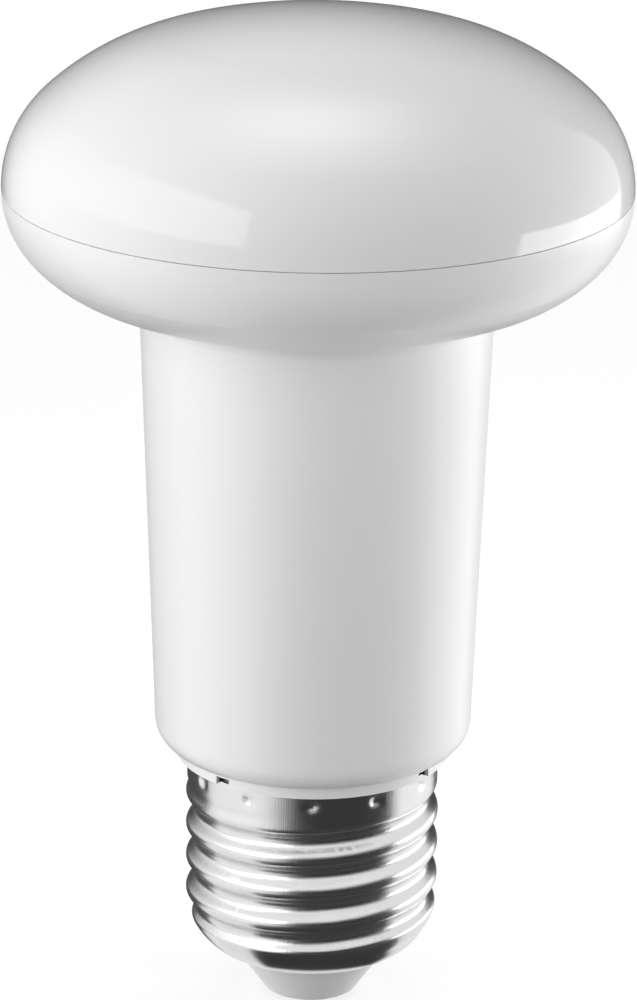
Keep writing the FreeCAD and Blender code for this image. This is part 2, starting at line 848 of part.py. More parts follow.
def build_led_connector():
    body = new_body("led_connector")
    start, middle = d["connector_place"], -d["driver_offset"]
    half, high = d["connector_width"] / 2, d["connector_height"]
    sketch = new_sketch(body, "connector_block", "XY_Plane", led_level)
    rectangle_in(sketch, start, start + d["connector_length"], middle - half, middle + half)
    pad(body, sketch, high)
    mouth = new_sketch(body, "connector_sockets", "YZ_Plane", start)
    socket = d["lead_radius"] + d["connector_clearance"]
    for place in (front_lead, back_lead):
        circle_in(mouth, place, led_level + high / 2, socket)
    pocket(body, mouth, d["connector_socket_depth"])
    return body


# Driver board and the parts on it

def build_driver_board():
    body = new_body("driver_board")
    sketch = new_sketch(body, "board_outline", lift=-board_front)
    rectangle_in(sketch, -driver_half, driver_half, floor_height, driver_top)
    pad(body, sketch, d["driver_thickness"])
    return body


def build_can(label, radius, height, place, rise):
    """An electrolytic can lying along the board, with the groove round its foot."""
    body = new_body(label)
    groove, rise_groove = d["can_groove"], d["can_groove_rise"]
    profile = new_sketch(body, f"{label}_profile")
    outline = Outline(profile, (ZERO, ZERO)).line(radius, ZERO)
    outline.line(radius, rise_groove - groove).line(radius - groove, rise_groove)
    outline.line(radius, rise_groove + groove).line(radius, height)
    outline.line(ZERO, height).close()
    revolve(body, profile)
    return put(body, place, front_face + radius, floor_height + rise)


def choke_middle():
    build = d["bobbin_clearance"] + d["bobbin_wall"] + d["winding_build"]
    return front_face + build + d["choke_depth"] / 2


def put_choke(body):
    middle = floor_height + choke_rise + d["choke_height"] / 2
    return put(body, d["choke_place"], choke_middle(), middle)


def build_choke_core():
    body = new_body("choke_core")
    wide, high = d["choke_width"] / 2, d["choke_height"] / 2
    limb, window = d["choke_limb"] / 2, wide - d["choke_side_limb"]
    sill = high - d["choke_yoke"]
    sketch = new_sketch(body, "core_frame", lift=-d["choke_depth"] / 2)
    rectangle_in(sketch, -wide, wide, -high, high)
    rectangle_in(sketch, limb, window, -sill, sill)
    rectangle_in(sketch, -window, -limb, -sill, sill)
    pad(body, sketch, d["choke_depth"])
    return put_choke(body)


def sleeve(body, name, low, inset, build, length):
    """A square tube round the choke's middle limb."""
    sketch = new_sketch(body, name, "XY_Plane", low)
    for grow in (inset, inset + build):
        wide = d["choke_limb"] / 2 + grow
        deep = d["choke_depth"] / 2 + grow
        rectangle_in(sketch, -wide, wide, -deep, deep)
    return pad(body, sketch, length)


def build_choke_bobbin():
    body = new_body("choke_bobbin")
    clear, wall = d["bobbin_clearance"], d["bobbin_wall"]
    high = d["choke_height"] / 2 - d["choke_yoke"] - clear
    flange = wall + d["winding_build"]
    sleeve(body, "bobbin_tube", -high, clear, wall, high * 2)
    sleeve(body, "bobbin_foot", -high, clear, flange, wall)
    sleeve(body, "bobbin_head", high - wall, clear, flange, wall)
    return put_choke(body)


def build_choke_winding():
    body = new_body("choke_winding")
    clear, wall = d["bobbin_clearance"], d["bobbin_wall"]
    high = d["choke_height"] / 2 - d["choke_yoke"] - clear - wall - clear
    inset = clear + wall + clear
    sleeve(body, "winding_coil", -high, inset, d["winding_build"] - clear - clear, high * 2)
    return put_choke(body)


def build_fusible_resistor():
    body = new_body("fusible_resistor")
    radius, neck = d["fusible_radius"], d["fusible_radius"] - d["fusible_neck"]
    cap, length = d["fusible_cap"], d["fusible_length"]
    profile = new_sketch(body, "fusible_profile")
    outline = Outline(profile, (ZERO, ZERO)).line(radius, ZERO).line(radius, cap)
    outline.line(neck, cap).line(neck, length - cap).line(radius, length - cap)
    outline.line(radius, length).line(ZERO, length).close()
    revolve(body, profile)
    body.Placement = Placement(Vector(), Rotation(Vector(0, 1, 0), 90))
    middle = floor_height + fusible_rise + radius
    return put(body, d["fusible_place"], front_face + radius, middle)


def build_film_capacitor():
    low = (d["film_place"], front_face, floor_height + film_rise)
    return box("film_capacitor", low, (d["film_length"], d["film_depth"], d["film_height"]))


def back_block(label, place, rise, length, depth, height):
    """A moulded block on the board's back face."""
    low = (place, back_face - depth, floor_height + rise)
    return box(label, low, (length, depth, height))


def build_driver_chip():
    place, reach, wide = d["chip_place"], d["chip_leg_reach"], d["chip_width"]
    parts = [back_block("chip_block", place, chip_rise, wide, d["chip_depth"], d["chip_length"])]
    spread = d["chip_leg_pitch"] * (d["chip_leg_count"] - ONE) + d["chip_leg_width"]
    first = chip_rise + (d["chip_length"] - spread) / 2
    for index in range(round(d["chip_leg_count"].value)):
        leg_rise = first + d["chip_leg_pitch"] * index
        leg = back_block(
            f"chip_legs_{index}", place - reach, leg_rise, wide + reach * 2,
            d["chip_leg_thickness"], d["chip_leg_width"],
        )
        parts.append(leg)
    chip = doc.addObject("Part::MultiFuse", "driver_chip")
    chip.Shapes = parts
    return chip


def build_chip_resistors():
    parts = []
    for index in range(round(d["resistor_count"].value)):
        rise = resistor_rise + d["resistor_pitch"] * index
        block = back_block(
            f"resistor_{index}", d["resistor_place"], rise,
            d["resistor_length"], d["resistor_depth"], d["resistor_height"],
        )
        parts.append(block)
    group = doc.addObject("Part::Compound", "chip_resistors")
    group.Links = parts
    return group


# Leads: straight runs and round bends, swept with one section

def sweep(body, path, foot, height):
    section = new_sketch(body, f"{body.Label}_section", "XY_Plane", height)
    circle_in(section, foot[0], foot[1], d["lead_radius"])
    pipe = body.newObject("PartDesign::AdditivePipe", f"{body.Label}_pipe")
    pipe.Profile = section
    pipe.Spine = (path, [])
    path.Visibility = False
    return body


def build_light_lead(label, place):
    """From the driver board up through the plates and over into the connector."""
    body = new_body(label)
    low = driver_top - d["lead_overlap"]
    level = led_level + d["connector_height"] / 2
    bend = d["lead_bend"]
    end = d["connector_place"] + d["connector_socket_depth"] - d["connector_clearance"]
    path = new_sketch(body, f"{label}_path", lift=-place)
    outline = Outline(path, (ZERO, low)).line(ZERO, level - bend)
    outline.arc((bend, level - bend), (bend, level), clockwise=True, given="DistanceX")
    outline.line(end, level)
    return sweep(body, path, (ZERO, place), low)


def build_live_lead():
    """Down from the board, over to the axis and into the contact's pin."""
    body = new_body("live_lead")
    top, bend = floor_height + d["lead_overlap"], d["lead_bend"]
    high = floor_height - d["live_bend_drop"]
    share = ONE + front_lead / bend / 2
    fall = bend * root(ONE - share * share)
    middle = (front_lead / 2, high - fall)
    path = new_sketch(body, "live_path", "YZ_Plane")
    outline = Outline(path, (front_lead, top)).line(front_lead, high)
    outline.arc((front_lead + bend, high), middle)
    outline.arc((-bend, high - fall * 2), (ZERO, high - fall * 2), clockwise=True)
    outline.line(ZERO, pin_socket_floor)
    return sweep(body, path, (ZERO, front_lead), top)


def build_neutral_lead():
    """Down from the board, through the spigot and out to the shell's inner side."""
    body = new_body("neutral_lead")
    top, bend, place = floor_height + d["lead_overlap"], d["lead_bend"], d["neutral_place"]
    inner = d["root_radius"] - d["shell_wall"] - d["solder_gap"]
    aside = front_lead - d["lead_radius"]
    end = root(inner * inner - aside * aside)
    path = new_sketch(body, "neutral_path", lift=-front_lead)
    outline = Outline(path, (place, top)).line(place, solder_level + bend)
    centre = (place + bend, solder_level + bend)
    outline.arc(centre, (place + bend, solder_level), given="DistanceX")
    outline.line(end, solder_level)
    return sweep(body, path, (place, front_lead), top)


# All nodes

pieces = [
    build_diffuser(),
    build_housing(),
    build_screw_shell(),
    build_cap_insulator(),
    build_centre_contact(),
    build_heat_spreader(),
    build_led_board(),
    build_led_packages(),
    build_board_screws(),
    build_led_connector(),
    build_light_lead("positive_lead", front_lead),
    build_light_lead("negative_lead", back_lead),
    build_driver_board(),
    back_block(
        "bridge_rectifier", d["bridge_place"], bridge_rise,
        d["bridge_length"], d["bridge_depth"], d["bridge_height"],
    ),
    build_can(
        "input_capacitor", d["input_can_radius"], d["input_can_height"],
        d["input_can_place"], input_can_rise,
    ),
    build_can(
        "output_capacitor", d["output_can_radius"], d["output_can_height"],
        d["output_can_place"], output_can_rise,
    ),
    build_choke_core(),
    build_choke_bobbin(),
    build_choke_winding(),
    build_driver_chip(),
    back_block(
        "output_diode", d["diode_place"], diode_rise,
        d["diode_length"], d["diode_depth"], d["diode_height"],
    ),
    build_film_capacitor(),
    build_fusible_resistor(),
    build_chip_resistors(),
    build_live_lead(),
    build_neutral_lead(),
]
doc.recompute()

for item in doc.Objects:
    if "Invalid" in item.State or "Error" in item.State:
        raise ValueError(f"{item.Label} failed")

os.makedirs("parts", exist_ok=True)
for piece in pieces:
    shape = piece.Shape
    if shape.isNull() or not shape.isValid():
        raise ValueError(f"{piece.Label} has no sound shape")
    shape.exportStep(f"parts/{piece.Label}.step")
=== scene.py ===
import math

import bmesh
import bpy
from mathutils import Euler, Matrix, Quaternion, Vector


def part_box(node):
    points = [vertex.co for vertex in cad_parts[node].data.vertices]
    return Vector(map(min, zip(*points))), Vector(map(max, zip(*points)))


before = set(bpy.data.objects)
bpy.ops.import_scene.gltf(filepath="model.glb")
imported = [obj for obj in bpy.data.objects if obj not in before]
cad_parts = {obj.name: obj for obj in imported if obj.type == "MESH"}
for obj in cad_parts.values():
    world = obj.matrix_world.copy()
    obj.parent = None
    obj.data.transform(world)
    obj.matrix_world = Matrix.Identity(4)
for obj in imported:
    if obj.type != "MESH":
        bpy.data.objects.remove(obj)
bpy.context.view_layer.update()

bl_info = {
    "name": "Reflector lamp",
    "version": (1, 0, 0),
    "blender": (4, 5, 0),
    "location": "View3D > Sidebar > Lamp",
    "description": "Dresses a reflector lamp with a screw cap and sets its studio",
    "category": "Object",
}

# Bearings go round the lamp from the viewer's side, to the right when positive

# Dark screens that mirrors see: first and last bearing, distance and height of each
SCREENS = {
    "front_screen": (-45, 72, 0.06, 0.07),
    "back_screen": (136, 258, 0.35, 0.4),
}
SCREEN_START = 0.008
SCREEN_LIFT = 0.0004
SCREEN_STEPS = 24
CLOTH_COLOUR = (0.05, 0.05, 0.05, 1)
# The cloth thins from this share of its height to the top, and up to this share of its width
CLOTH_THINS_FROM = 0.3
CLOTH_THINS_TO = 0.34

FLOOR_ROUGHNESS = 0.9

# Soft glows in the room: bearing and rise in degrees, and how narrow each is
OVERHEAD = (180, 78, 18)
LEFT_SKY = (-54, 3, 11)

# Panels of light: bearing, distance, height of the middle, width and height
LEFT_PANEL = (-68, 0.5, 0.34, 0.92, 0.41)
RIGHT_PANEL = (102, 0.25, 0.038, 0.29, 0.068)
LEFT_FILL = (-75, 0.2, 0.045, 0.22, 0.085)
RIGHT_FILL = (100, 0.15, 0.045, 0.22, 0.085)
# The left panel's weakest light, and the share of its width where it reaches full strength
WEAKEST_LIGHT = 0.1
FULL_LIGHT_FROM = 0.9
# Turn of the right panel in its own plane, which lowers its far end, in degrees
RIGHT_PANEL_LEAN = -6

# Camera of the photograph: place in metres, lens in millimetres, angles in degrees,
# and its aim off the picture's middle in pixels, with the lens in the same pixels
CAMERA_PLACE = (0, -0.4556, 0.2102)
CAMERA_LENS = 169.88
CAMERA_LOOKS_DOWN = 18.547
CAMERA_ROLL = 0.587
CAMERA_AIM = (-27.7, -3.17)
CAMERA_LENS_PIXELS = 4718.8
CAMERA_CLIP = (0.01, 50)

# Painted shade at the inner ends of the collar's slots: how far out it reaches, and its height
# over the rim
SLOT_REACH = 0.0136
SLOT_RISE = 0.0011
SLOT_EDGE = 0.00015
SLOT_PAINTED_SHADE = 0.97

# Gap under the dome's edge: its height, the margin round it, and the colour of the painted
# light in it
SEAM_GAP = 0.0001
SEAM_MARGIN = 0.00001
SEAM_PAINTED_LIGHT = (0.99, 0.99, 0.99, 1)

# Grain and clouds of the plastics: detail of both, how many clouds to a metre, how
# much they roughen the surface, and the depths of the grain in metres
GRAIN_DETAIL = 3
CLOUD_SCALE = 60
CLOUD_DETAIL = 4
CLOUD_ON_ROUGHNESS = 1.5
PLASTIC_BUMP = 0.25
FINE_CLOUD = 0.012
DOME_GRAIN_DEPTH = 0.000004
HOUSING_GRAIN_DEPTH = 0.000008
DOME_IOR = 1.55

# Marks on the rolled sheet: how many to a radian, and how many to a metre of height
STREAKS_PER_RADIAN = 110.0
STREAK_BREAKS = 160.0
STREAK_DETAIL = 4
STREAK_BUMP = 0.3
STREAK_DEPTH = 0.00003
# Stains on it: how many to a metre, two levels of their noise, and the shade at each
STAIN_SCALE = 220
STAIN_DETAIL = 5
STAIN_ENDS = (0.3, 0.7)
STAIN_SHADES = (0.95, 1.0)

# Colour of an effect's input before a material sets it
UNSET_COLOUR = (0.8, 0.8, 0.8, 1)


# Sizes and colours that a user would change

class LampFinish(bpy.types.PropertyGroup):
    dome_colour: bpy.props.FloatVectorProperty(
        name="Dome", description="Opal plastic of the dome",
        subtype="COLOR", size=3, min=0, max=1, default=(0.85, 0.85, 0.85),
    )
    housing_colour: bpy.props.FloatVectorProperty(
        name="Housing", description="White plastic of the head and neck",
        subtype="COLOR", size=3, min=0, max=1, default=(0.86, 0.86, 0.86),
    )
    metal_colour: bpy.props.FloatVectorProperty(
        name="Cap metal", description="Plated sheet of the screw shell",
        subtype="COLOR", size=3, min=0, max=1, default=(0.74, 0.74, 0.735),
    )
    insulator_colour: bpy.props.FloatVectorProperty(
        name="Insulator", description="Pale insulator under the shell",
        subtype="COLOR", size=3, min=0, max=1, default=(0.87, 0.87, 0.86),
    )
    dome_roughness: bpy.props.FloatProperty(
        name="Dome roughness", description="How blurred the dome mirrors the lamps",
        min=0, max=1, default=0.08,
    )
    housing_roughness: bpy.props.FloatProperty(
        name="Housing roughness", description="How blurred the housing mirrors the lamps",
        min=0, max=1, default=0.33,
    )
    grain_size: bpy.props.FloatProperty(
        name="Grain", description="Size of the mould's grain in the plastic",
        unit="LENGTH", min=0.0001, max=0.01, default=0.0009,
    )


class LampStudio(bpy.types.PropertyGroup):
    floor_colour: bpy.props.FloatVectorProperty(
        name="Floor", description="Floor under the lamp, as far as it throws light back",
        subtype="COLOR", size=3, min=0, max=1, default=(0.3, 0.3, 0.3),
    )
    floor_glow: bpy.props.FloatProperty(
        name="Floor glow", description="White that the camera and mirrors see in the floor",
        min=0, max=1, default=0.75,
    )
    floor_size: bpy.props.FloatProperty(
        name="Floor size", description="Side of the square floor",
        unit="LENGTH", min=1, max=50, default=12.0,
    )
    room_strength: bpy.props.FloatProperty(
        name="Room", description="Light of the white room on the object",
        min=0, max=5, default=0.355,
    )
    overhead_strength: bpy.props.FloatProperty(
        name="Overhead glow", description="Light of the soft glow overhead, at its middle",
        min=0, max=20, default=2.7,
    )
    left_sky_strength: bpy.props.FloatProperty(
        name="Left glow", description="Light of the soft glow on the left, at its middle",
        min=0, max=20, default=2.1,
    )
    left_power: bpy.props.FloatProperty(
        name="Left panel", description="Power of the tall panel on the left",
        unit="POWER", min=0, max=100, default=2.0,
    )
    right_power: bpy.props.FloatProperty(
        name="Right panel", description="Power of the low panel on the right",
        unit="POWER", min=0, max=100, default=0.2,
    )
    left_fill: bpy.props.FloatProperty(
        name="Left fill", description="Power of the fill lamp by the neck on the left",
        unit="POWER", min=0, max=100, default=0.14,
    )
    right_fill: bpy.props.FloatProperty(
        name="Right fill", description="Power of the fill lamp by the neck on the right",
        unit="POWER", min=0, max=100, default=0.15,
    )


# Node helpers

def join(tree, out_node, out_name, in_node, in_name):
    tree.links.new(out_node.outputs[out_name], in_node.inputs[in_name])


def arithmetic(tree, operation, *values):
    """A Math node whose inputs are numbers or (node, output) pairs."""
    node = tree.nodes.new("ShaderNodeMath")
    node.operation = operation
    for index, value in enumerate(values):
        if isinstance(value, tuple):
            join(tree, *value, node, index)
        else:
            node.inputs[index].default_value = value
    return node, 0


def change(tree, value, ends, results, course="SMOOTHSTEP"):
    """Turns a value between two ends into one between two results."""
    node = tree.nodes.new("ShaderNodeMapRange")
    node.interpolation_type = course
    names = ("From Min", "From Max", "To Min", "To Max")
    for name, number in zip(names, (*ends, *results)):
        node.inputs[name].default_value = number
    join(tree, *value, node, "Value")
    return node, "Result"


def band(tree, value, low, high, margin):
    """One between two limits and nothing outside them, with soft edges."""
    above = change(tree, value, (low, low + margin), (0.0, 1.0))
    below = change(tree, value, (high, high + margin), (1.0, 0.0))
    return arithmetic(tree, "MULTIPLY", above, below)


def split_place(tree, kind="ShaderNodeTexCoord", output="Object"):
    """A place on a surface, whole and as its three coordinates."""
    place = tree.nodes.new(kind)
    apart = tree.nodes.new("ShaderNodeSeparateXYZ")
    join(tree, place, output, apart, "Vector")
    return place, apart


def noise(tree, place, output, detail, scale=1.0):
    node = tree.nodes.new("ShaderNodeTexNoise")
    node.inputs["Scale"].default_value = scale
    node.inputs["Detail"].default_value = detail
    join(tree, place, output, node, "Vector")
    return node


# Effects that materials share

def new_effect(name, inputs, outputs):
    """An empty effect with its named inputs, their defaults, and its outputs."""
    group = bpy.data.node_groups.new(name, "ShaderNodeTree")
    ways = [("INPUT", label) for label in inputs] + [("OUTPUT", label) for label in outputs]
    for way, label in ways:
        kind = "NodeSocketColor" if label == "Colour" else "NodeSocketFloat"
        socket = group.interface.new_socket(name=label, in_out=way, socket_type=kind)
        if way == "INPUT":
            socket.default_value = inputs[label]
    return group, group.nodes.new("NodeGroupInput"), group.nodes.new("NodeGroupOutput")


def tint(group, inside, factor, outside):
    """Scales the colour that passes through an effect."""
    scaled = group.nodes.new("ShaderNodeVectorMath")
    scaled.operation = "SCALE"
    join(group, inside, "Colour", scaled, 0)
    join(group, *factor, scaled, "Scale")
    join(group, scaled, 0, outside, "Colour")


def moulded_grain():
    """Fine grain and faint clouds, as moulded plastic and coatings have."""
    group = bpy.data.node_groups.get("moulded_grain")
    if group:
        return group
    group, inside, outside = new_effect(
        "moulded_grain",
        {"Colour": UNSET_COLOUR, "Roughness": 0.4, "Grain Scale": 900.0, "Cloud": 0.02},
        ("Colour", "Roughness", "Height"),
    )
    place = group.nodes.new("ShaderNodeTexCoord")
    grain = noise(group, place, "Object", GRAIN_DETAIL)
    join(group, inside, "Grain Scale", grain, "Scale")
    cloud = noise(group, place, "Object", CLOUD_DETAIL, CLOUD_SCALE)
    centred = arithmetic(group, "SUBTRACT", (cloud, "Fac"), 0.5)
    swing = arithmetic(group, "MULTIPLY", centred, (inside, "Cloud"))
    tint(group, inside, arithmetic(group, "ADD", swing, 1.0), outside)
    rough = arithmetic(group, "MULTIPLY_ADD", swing, CLOUD_ON_ROUGHNESS, (inside, "Roughness"))
    join(group, *rough, outside, "Roughness")
    join(group, grain, "Fac", outside, "Height")
    return group


def rolled_streaks():
    """Hair-fine marks up and down the sheet, as drawing and rolling leave them."""
    group = bpy.data.node_groups.get("rolled_streaks")
    if group:
        return group
    group, inside, outside = new_effect(
        "rolled_streaks",
        {"Colour": UNSET_COLOUR, "Roughness": 0.1, "Marks": 0.05},
        ("Colour", "Roughness", "Height"),
    )
    place, apart = split_place(group)
    turn = arithmetic(group, "ARCTAN2", (apart, "Y"), (apart, "X"))
    around = group.nodes.new("ShaderNodeCombineXYZ")
    join(group, *arithmetic(group, "MULTIPLY", turn, STREAKS_PER_RADIAN), around, "X")
    join(group, *arithmetic(group, "MULTIPLY", (apart, "Z"), STREAK_BREAKS), around, "Y")
    streak = noise(group, around, "Vector", STREAK_DETAIL)
    marks = arithmetic(group, "MULTIPLY", (streak, "Fac"), (inside, "Marks"))
    rough = arithmetic(group, "ADD", marks, (inside, "Roughness"))
    join(group, *rough, outside, "Roughness")
    stain = noise(group, place, "Object", STAIN_DETAIL, STAIN_SCALE)
    tint(
        group, inside,
        change(group, (stain, "Fac"), STAIN_ENDS, STAIN_SHADES, "LINEAR"), outside,
    )
    join(group, streak, "Fac", outside, "Height")
    return group


def painted_slot_shade():
    """Painted shade deep in the collar's slots, just above the shell's rim, which darkens their
    colour.
    """
    group, inside, outside = new_effect("painted_slot_shade", {"Colour": UNSET_COLOUR}, ("Colour",))
    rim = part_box("screw_shell")[1][2]
    _, apart = split_place(group)
    flat = group.nodes.new("ShaderNodeCombineXYZ")
    for axis in "XY":
        join(group, apart, axis, flat, axis)
    radius = group.nodes.new("ShaderNodeVectorMath")
    radius.operation = "LENGTH"
    join(group, flat, "Vector", radius, 0)
    reach = (SLOT_REACH, SLOT_REACH + SLOT_EDGE)
    deep = change(group, (radius, "Value"), reach, (SLOT_PAINTED_SHADE, 0.0))
    level = band(group, (apart, "Z"), rim, rim + SLOT_RISE, SLOT_EDGE)
    dark = arithmetic(group, "MULTIPLY", deep, level)
    tint(group, inside, arithmetic(group, "SUBTRACT", 1.0, dark), outside)
    return group


def painted_seam_light():
    """Painted light: paler walls in the gap under the dome, standing in for the light that both
    plastics pass on.
    """
    group = bpy.data.node_groups.get("painted_seam_light")
    if group:
        return group
    group, inside, outside = new_effect("painted_seam_light", {"Colour": UNSET_COLOUR}, ("Colour",))
    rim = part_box("housing")[1][2]
    _, apart = split_place(group)
    low, high = rim - 2 * SEAM_MARGIN, rim + SEAM_GAP + SEAM_MARGIN
    choose = group.nodes.new("ShaderNodeMix")
    choose.data_type = "RGBA"
    join(group, *band(group, (apart, "Z"), low, high, SEAM_MARGIN), choose, "Factor")
    own, pale = [end for end in choose.inputs if end.type == "RGBA"]
    group.links.new(inside.outputs["Colour"], own)
    pale.default_value = SEAM_PAINTED_LIGHT
    result = next(end for end in choose.outputs if end.type == "RGBA")
    group.links.new(result, outside.inputs["Colour"])
    return group


# Materials

def new_material(name):
    material = bpy.data.materials.new(name)
    material.use_nodes = True
    return material, material.node_tree, material.node_tree.nodes["Principled BSDF"]


def surfaced(name, group, colour, roughness, strength, distance, extra):
    """A Principled surface whose colour, roughness and bump come from one effect."""
    material, tree, shader = new_material(name)
    effect = tree.nodes.new("ShaderNodeGroup")
    effect.node_tree = group
    effect.inputs["Colour"].default_value = (*colour, 1)
    effect.inputs["Roughness"].default_value = roughness
    for key, value in extra.items():
        effect.inputs[key].default_value = value
    bump = tree.nodes.new("ShaderNodeBump")
    bump.inputs["Strength"].default_value = strength
    bump.inputs["Distance"].default_value = distance
    join(tree, effect, "Height", bump, "Height")
    join(tree, effect, "Colour", shader, "Base Color")
    join(tree, effect, "Roughness", shader, "Roughness")
    join(tree, bump, "Normal", shader, "Normal")
    return material, shader


def plastic(name, colour, roughness, grain=1100.0, depth=0.00001, cloud=0.03):
    extra = {"Grain Scale": grain, "Cloud": cloud}
    effect = moulded_grain()
    return surfaced(name, effect, colour, roughness, PLASTIC_BUMP, depth, extra)[0]


def metal(name, colour, roughness, marks=0.1):
    material, shader = surfaced(
        name, rolled_streaks(), colour, roughness, STREAK_BUMP, STREAK_DEPTH, {"Marks": marks}
    )
    shader.inputs["Metallic"].default_value = 1.0
    return material


def shade(material, group):
    """Passes a surface's colour through one more effect."""
    tree = material.node_tree
    effect = tree.nodes.new("ShaderNodeGroup")
    effect.node_tree = group
    colour = tree.nodes["Principled BSDF"].inputs["Base Color"]
    tree.links.new(colour.links[0].from_socket, effect.inputs["Colour"])
    tree.links.new(effect.outputs["Colour"], colour)


def dress(name, material):
    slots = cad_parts[name].data.materials
    slots.clear()
    slots.append(material)


# Operators, one for each piece or group of like pieces

class LAMP_OT_dress_dome(bpy.types.Operator):
    """Opal, glossy plastic for the dome"""
    bl_idname = "lamp.dress_dome"
    bl_label = "Dome"

    def execute(self, context):
        look = context.scene.lamp_finish
        opal = plastic(
            "opal_dome", look.dome_colour, look.dome_roughness,
            grain=1 / look.grain_size, depth=DOME_GRAIN_DEPTH, cloud=FINE_CLOUD,
        )
        opal.node_tree.nodes["Principled BSDF"].inputs["IOR"].default_value = DOME_IOR
        # Painted light in the gap under the dome, a paler colour there
        shade(opal, painted_seam_light())
        dress("diffuser", opal)
        return {"FINISHED"}


class LAMP_OT_dress_housing(bpy.types.Operator):
    """White satin plastic for the head, neck and collar"""
    bl_idname = "lamp.dress_housing"
    bl_label = "Housing"

    def execute(self, context):
        look = context.scene.lamp_finish
        white = plastic(
            "white_housing", look.housing_colour, look.housing_roughness,
            grain=1 / look.grain_size, depth=HOUSING_GRAIN_DEPTH, cloud=FINE_CLOUD,
        )
        # Painted shade in the collar's slots, darkening the housing's colour there
        shade(white, painted_slot_shade())
        # Painted light in the gap under the dome, a paler colour there
        shade(white, painted_seam_light())
        dress("housing", white)
        return {"FINISHED"}


class LAMP_OT_dress_cap(bpy.types.Operator):
    """Plated shell, pale insulator and contact"""
    bl_idname = "lamp.dress_cap"
    bl_label = "Screw cap"

    def execute(self, context):
        look = context.scene.lamp_finish
        dress("screw_shell", metal("plated_shell", look.metal_colour, 0.19))
        dress("cap_insulator", plastic("pale_insulator", look.insulator_colour, 0.3))
        dress("centre_contact", metal("plated_contact", look.metal_colour, 0.22))
        return {"FINISHED"}


class LAMP_OT_dress_light_board(bpy.types.Operator):
    """Heat spreader, light board and what is on it"""
    bl_idname = "lamp.dress_light_board"
    bl_label = "Light board"

    def execute(self, context):
        dress("heat_spreader", metal("mill_aluminium", (0.74, 0.75, 0.76), 0.3, marks=0.2))
        dress("led_board", plastic("white_mask", (0.84, 0.84, 0.81), 0.35))
        dress("led_packages", plastic("phosphor", (0.85, 0.68, 0.16), 0.25))
        dress("board_screws", metal("zinc_screw", (0.62, 0.62, 0.64), 0.28, marks=0.15))
        dress("led_connector", plastic("white_nylon", (0.78, 0.77, 0.72), 0.5))
        return {"FINISHED"}


class LAMP_OT_dress_driver(bpy.types.Operator):
    """Driver board, its parts and the leads"""
    bl_idname = "lamp.dress_driver"
    bl_label = "Driver and leads"

    def execute(self, context):
        resin = plastic("black_resin", (0.035, 0.035, 0.038), 0.55, cloud=0.2)
        for name in ("bridge_rectifier", "driver_chip", "output_diode", "chip_resistors"):
            dress(name, resin)
        sleeve = plastic("can_sleeve", (0.03, 0.04, 0.09), 0.25)
        for name in ("input_capacitor", "output_capacitor"):
            dress(name, sleeve)
        dress("driver_board", plastic("green_mask", (0.04, 0.20, 0.08), 0.3, cloud=0.2))
        dress("choke_core", plastic("ferrite", (0.06, 0.06, 0.065), 0.6, grain=2500, cloud=0.3))
        dress("choke_bobbin", plastic("black_bobbin", (0.03, 0.03, 0.03), 0.45))
        dress("choke_winding", metal("copper_wire", (0.72, 0.33, 0.14), 0.25, marks=0.3))
        dress("film_capacitor", plastic("yellow_case", (0.74, 0.50, 0.06), 0.3))
        dress("fusible_resistor", plastic("green_cement", (0.16, 0.28, 0.20), 0.6, cloud=0.2))
        for name, colour in (
            ("positive_lead", (0.55, 0.03, 0.02)), ("negative_lead", (0.03, 0.03, 0.03)),
            ("live_lead", (0.18, 0.07, 0.03)), ("neutral_lead", (0.03, 0.09, 0.42)),
        ):
            dress(name, plastic(f"{name}_sleeve", colour, 0.4))
        return {"FINISHED"}


# Stage

def at_bearing(bearing, distance, height):
    """A place by its bearing from the viewer's side, to the right when positive."""
    turn = math.radians(bearing)
    return (distance * math.sin(turn), -distance * math.cos(turn), height)


def panel(name, bearing, distance, level, width, height, power):
    """A soft box that faces the lamp's axis from the side, at its own height."""
    data = bpy.data.lights.new(name, "AREA")
    data.shape = "RECTANGLE"
    data.size, data.size_y = width, height
    data.energy = power
    lamp = bpy.data.objects.new(name, data)
    lamp.location = at_bearing(bearing, distance, level)
    lamp.rotation_mode = "QUATERNION"
    inwards = Vector((0, 0, level)) - Vector(lamp.location)
    lamp.rotation_quaternion = inwards.to_track_quat("-Z", "Y")
    lamp.visible_camera = False
    bpy.context.scene.collection.objects.link(lamp)
    return lamp


def seen_directly(tree):
    """One for rays from the camera, a mirror or glass, and nothing for stray light."""
    path = tree.nodes.new("ShaderNodeLightPath")
    mirrored = arithmetic(
        tree, "MAXIMUM", (path, "Is Glossy Ray"), (path, "Is Transmission Ray")
    )
    return arithmetic(tree, "MAXIMUM", (path, "Is Camera Ray"), mirrored)


def lit_for_camera(tree, surface, strength):
    """Adds a glow to the ground that only the camera, mirrors and glass see."""
    glow = tree.nodes.new("ShaderNodeEmission")
    join(tree, *arithmetic(tree, "MULTIPLY", seen_directly(tree), strength), glow, "Strength")
    both = tree.nodes.new("ShaderNodeAddShader")
    join(tree, surface, 0, both, 0)
    join(tree, glow, 0, both, 1)
    join(tree, both, 0, tree.nodes["Material Output"], "Surface")


def soft_glow(tree, bearing, rise, sharpness, strength):
    """Light from one part of the sky that fades to nothing all round it."""
    up = math.radians(rise)
    place = tree.nodes.new("ShaderNodeTexCoord")
    along = tree.nodes.new("ShaderNodeVectorMath")
    along.operation = "DOT_PRODUCT"
    along.inputs[1].default_value = at_bearing(bearing, math.cos(up), math.sin(up))
    join(tree, place, "Generated", along, 0)
    facing = arithmetic(tree, "MAXIMUM", (along, "Value"), 0.0)
    return arithmetic(tree, "MULTIPLY", arithmetic(tree, "POWER", facing, sharpness), strength)


